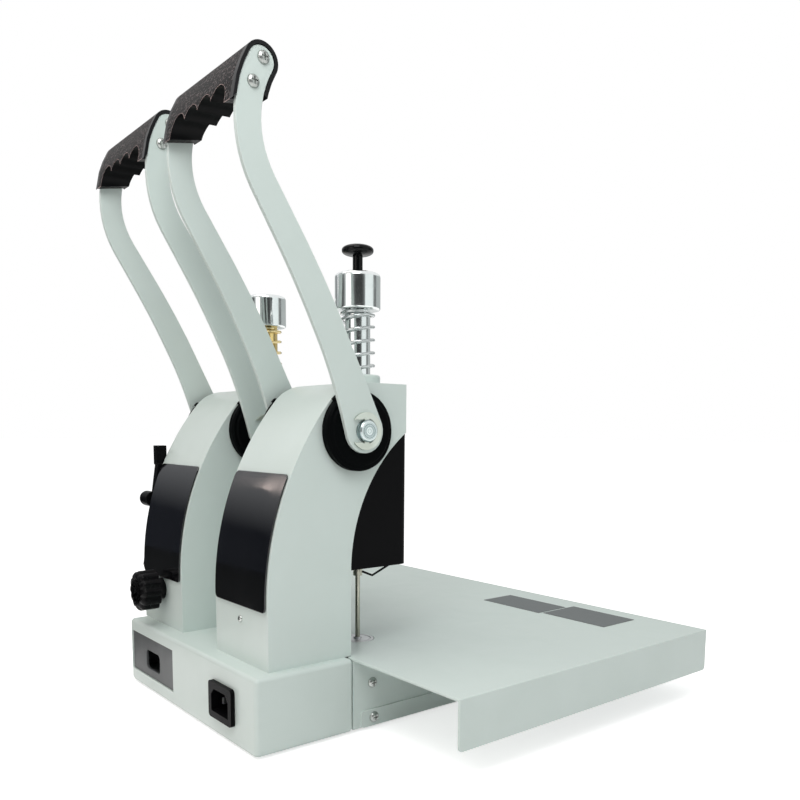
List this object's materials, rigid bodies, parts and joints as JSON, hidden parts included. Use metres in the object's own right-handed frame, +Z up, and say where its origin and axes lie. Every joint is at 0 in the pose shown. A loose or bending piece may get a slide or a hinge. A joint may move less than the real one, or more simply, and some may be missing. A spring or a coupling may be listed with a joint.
{
  "type": "document riveting machine",
  "caption": "Desk machine with two levers that drills a document stack and closes it with a heated rivet, on a wide table.",
  "frame": {"origin": "centre of the footprint on the desk, at the underside of the feet", "axes": "+X to the operator's right, -Y to the operator and +Y to the rear, +Z up"},
  "size_m": [0.4, 0.3398, 0.407],
  "materials": {
    "body_paint": "pale mint-white gloss powder coat",
    "black_gloss": "gloss black moulding",
    "black_matte": "semi-matte black moulding",
    "grip_black": "dark leather-grained grip",
    "chrome": "bright plated",
    "steel": "turned and ground steel",
    "zinc": "bright zinc plate",
    "brass": "yellow metal",
    "rubber": "black rubber",
    "grey_paint": "dark grey satin paint",
    "pale_plastic": "pale hard plastic",
    "board_green": "circuit board"
  },
  "bodies": {
    "base": {"base_housing": "body_paint", "bottom_plate": "body_paint", "rubber_feet": "rubber", "table_plate": "body_paint", "table_frame": "body_paint", "machine_screws": "zinc", "power_inlet": "black_matte", "inlet_pins": "brass", "heater_transformer": "grey_paint", "control_board": "board_green", "switch_frame": "black_matte", "rivet_frame": "steel", "rivet_shell": "body_paint", "rivet_rear_panel": "black_gloss", "rivet_nose_cover": "black_matte", "rivet_bearing_discs": "black_matte", "rivet_collar": "body_paint", "rivet_spring": "steel", "rivet_die": "steel", "die_heater": "steel", "drill_frame": "steel", "drill_shell": "body_paint", "drill_rear_panel": "black_gloss", "drill_nose_cover": "black_matte", "drill_bearing_discs": "black_matte", "drill_collar": "body_paint", "drill_spring": "brass", "drill_pad": "pale_plastic", "drill_motor": "grey_paint", "drive_belt": "rubber", "side_cover": "black_matte"},
    "rivet_lever": {"rivet_arms": "body_paint", "rivet_shaft": "steel", "rivet_pinion": "steel", "rivet_clips": "zinc", "rivet_grip": "grip_black", "rivet_grip_screws": "zinc"},
    "rivet_ram": {"rivet_quill": "chrome", "rivet_cap": "chrome", "rivet_punch": "brass"},
    "guide_rod": {"guide_pin": "steel", "pin_button": "black_gloss"},
    "drill_lever": {"drill_arms": "body_paint", "drill_shaft": "steel", "drill_pinion": "steel", "drill_clips": "zinc", "drill_grip": "grip_black", "drill_grip_screws": "zinc"},
    "drill_ram": {"drill_quill": "brass", "drill_cap": "chrome"},
    "drill_tool": {"drill_spindle": "steel", "hollow_drill": "steel"},
    "spindle_drive": {"spindle_pulley": "steel"},
    "motor_drive": {"motor_pulley": "steel"},
    "waste_drawer": {"chip_drawer": "grey_paint"},
    "power_switch": {"power_rocker": "black_matte"},
    "clamp_knob": {"star_knob": "black_matte"},
    "side_button": {"side_plunger": "black_matte"}
  },
  "joints": [
    {"name": "rivet_lever_turn", "type": "hinge", "parent": "base", "child": "rivet_lever", "pos_m": [-0.0585, 0.08229, 0.197], "axis": [1, 0, 0], "range_deg": [0, 122.3]},
    {"name": "rivet_ram_slide", "type": "slide", "parent": "base", "child": "rivet_ram", "axis": [0, 0, -1], "range_m": [0, 0.0427], "stiffness_N_per_m": 2300, "springref_m": -0.01, "deforming": ["rivet_spring"]},
    {"name": "guide_rod_lift", "type": "slide", "parent": "base", "child": "guide_rod", "axis": [0, 0, 1], "range_m": [0, 0.04]},
    {"name": "drill_lever_turn", "type": "hinge", "parent": "base", "child": "drill_lever", "pos_m": [0.0655, 0.08229, 0.197], "axis": [1, 0, 0], "range_deg": [0, 122.3]},
    {"name": "drill_ram_slide", "type": "slide", "parent": "base", "child": "drill_ram", "axis": [0, 0, -1], "range_m": [0, 0.0427], "stiffness_N_per_m": 2300, "springref_m": -0.01, "deforming": ["drill_spring"]},
    {"name": "drill_tool_spin", "type": "hinge", "parent": "drill_ram", "child": "drill_tool", "pos_m": [0.0655, 0.05504, 0.1], "axis": [0, 0, 1], "continuous": true},
    {"name": "spindle_pulley_spin", "type": "hinge", "parent": "base", "child": "spindle_drive", "pos_m": [0.0655, 0.05504, 0.1195], "axis": [0, 0, 1], "continuous": true},
    {"name": "motor_spin", "type": "hinge", "parent": "base", "child": "motor_drive", "pos_m": [0.0655, 0.11529, 0.1195], "axis": [0, 0, 1], "continuous": true},
    {"name": "drawer_slide", "type": "slide", "parent": "base", "child": "waste_drawer", "axis": [0, 1, 0], "range_m": [0, 0.06]},
    {"name": "power_switch_tilt", "type": "hinge", "parent": "base", "child": "power_switch", "pos_m": [0.14, -0.16371, 0.0345], "axis": [1, 0, 0], "range_deg": [-16, 0]},
    {"name": "clamp_knob_turn", "type": "hinge", "parent": "base", "child": "clamp_knob", "pos_m": [0.0655, 0.14729, 0.0775], "axis": [0, 1, 0], "continuous": true},
    {"name": "side_button_press", "type": "slide", "parent": "base", "child": "side_button", "axis": [-1, 0, 0], "range_m": [0, 0.003], "stiffness_N_per_m": 900, "springref_m": -0.002}
  ],
  "couplings": [
    {"joint": "rivet_ram_slide", "follows": "rivet_lever_turn", "m_per_rad": 0.02},
    {"joint": "drill_ram_slide", "follows": "drill_lever_turn", "m_per_rad": 0.02},
    {"joint": "spindle_pulley_spin", "follows": "motor_spin", "ratio": 0.64},
    {"joint": "drill_tool_spin", "follows": "motor_spin", "ratio": 0.64}
  ]
}
